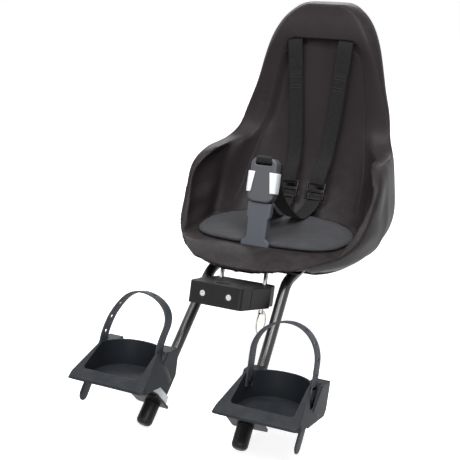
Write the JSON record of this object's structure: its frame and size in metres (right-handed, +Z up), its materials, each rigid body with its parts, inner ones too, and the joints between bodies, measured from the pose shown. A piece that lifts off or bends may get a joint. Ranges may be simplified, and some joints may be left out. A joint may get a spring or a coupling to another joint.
{
  "type": "kids handlebar bike seat",
  "caption": "Front child seat for a bicycle: moulded bucket with pad, harness and buckle on a stem clamp, with sliding foot trays on bent tube legs.",
  "frame": {"origin": "centre of the stem clamp's bore, halfway up the clamp block", "axes": "+X to the child's left, -Y the riding direction and the way the child faces, +Z up"},
  "size_m": [0.346, 0.593, 0.5409],
  "materials": {
    "shell_plastic": "matte",
    "pad_foam": "matte",
    "soft_grey_plastic": "satin",
    "strap_rubber": "matte",
    "pale_plastic": "satin",
    "webbing": "matte",
    "black_plastic": "satin",
    "liner_rubber": "matte",
    "tube_paint": "gloss",
    "zinc_steel": "satin",
    "ring_brass": "polished"
  },
  "bodies": {
    "clamp": {"clamp_block": "black_plastic", "clamp_cap": "black_plastic", "clamp_bolts": "zinc_steel", "clamp_nuts": "zinc_steel", "stem_liner": "liner_rubber"},
    "seat": {"seat_shell": "shell_plastic", "seat_pad": "pad_foam", "crotch_stalk": "soft_grey_plastic", "buckle_body": "soft_grey_plastic", "shoulder_strap_left": "webbing", "shoulder_strap_right": "webbing", "strap_adjuster_left": "black_plastic", "strap_adjuster_right": "black_plastic", "loop_strap_left": "webbing", "loop_strap_right": "webbing", "strap_anchor": "black_plastic", "under_bracket": "tube_paint", "bracket_screws": "zinc_steel", "leg_left": "tube_paint", "leg_right": "tube_paint", "leg_cap_left": "black_plastic", "leg_cap_right": "black_plastic", "fork_pin_left": "zinc_steel", "fork_pin_right": "zinc_steel", "spring_wire_left": "zinc_steel", "spring_wire_right": "zinc_steel"},
    "lock_pin": {"lock_pin": "zinc_steel"},
    "pull_ring": {"pull_ring": "ring_brass"},
    "button_left": {"buckle_button_left": "pale_plastic"},
    "button_right": {"buckle_button_right": "pale_plastic"},
    "tray_left": {"foot_tray_left": "soft_grey_plastic", "foot_strap_left": "strap_rubber", "strap_stud_left": "black_plastic", "lock_plate_left": "black_plastic"},
    "tray_right": {"foot_tray_right": "soft_grey_plastic", "foot_strap_right": "strap_rubber", "strap_stud_right": "black_plastic", "lock_plate_right": "black_plastic"},
    "tray_lock_left": {"tray_lock_left": "pale_plastic"},
    "tray_lock_right": {"tray_lock_right": "pale_plastic"}
  },
  "joints": [
    {"name": "seat_lift", "type": "slide", "parent": "clamp", "child": "seat", "axis": [0, 0.309, 0.9511], "range_m": [0, 0.045]},
    {"name": "lock_pull", "type": "slide", "parent": "clamp", "child": "lock_pin", "axis": [0, -0.309, -0.9511], "range_m": [0, 0.003], "stiffness_N_per_m": 900, "springref_m": -0.002},
    {"name": "ring_swing", "type": "hinge", "parent": "lock_pin", "child": "pull_ring", "pos_m": [0.035, 0.05854, -0.04636], "axis": [0, 1, 0], "range_deg": [-12, 12]},
    {"name": "tray_slide_left", "type": "slide", "parent": "seat", "child": "tray_left", "axis": [-0.0463, 0.7659, 0.6413], "range_m": [0, 0.05]},
    {"name": "tray_lock_left", "type": "slide", "parent": "tray_left", "child": "tray_lock_left", "axis": [-1, 0, 0], "range_m": [0, 0.003], "stiffness_N_per_m": 400, "springref_m": -0.002},
    {"name": "buckle_press_left", "type": "slide", "parent": "seat", "child": "button_left", "axis": [-1, 0, 0], "range_m": [0, 0.002], "stiffness_N_per_m": 600, "springref_m": -0.002},
    {"name": "tray_slide_right", "type": "slide", "parent": "seat", "child": "tray_right", "axis": [0.0463, 0.7659, 0.6413], "range_m": [0, 0.05]},
    {"name": "tray_lock_right", "type": "slide", "parent": "tray_right", "child": "tray_lock_right", "axis": [1, 0, 0], "range_m": [0, 0.003], "stiffness_N_per_m": 400, "springref_m": -0.002},
    {"name": "buckle_press_right", "type": "slide", "parent": "seat", "child": "button_right", "axis": [1, 0, 0], "range_m": [0, 0.002], "stiffness_N_per_m": 600, "springref_m": -0.002}
  ]
}
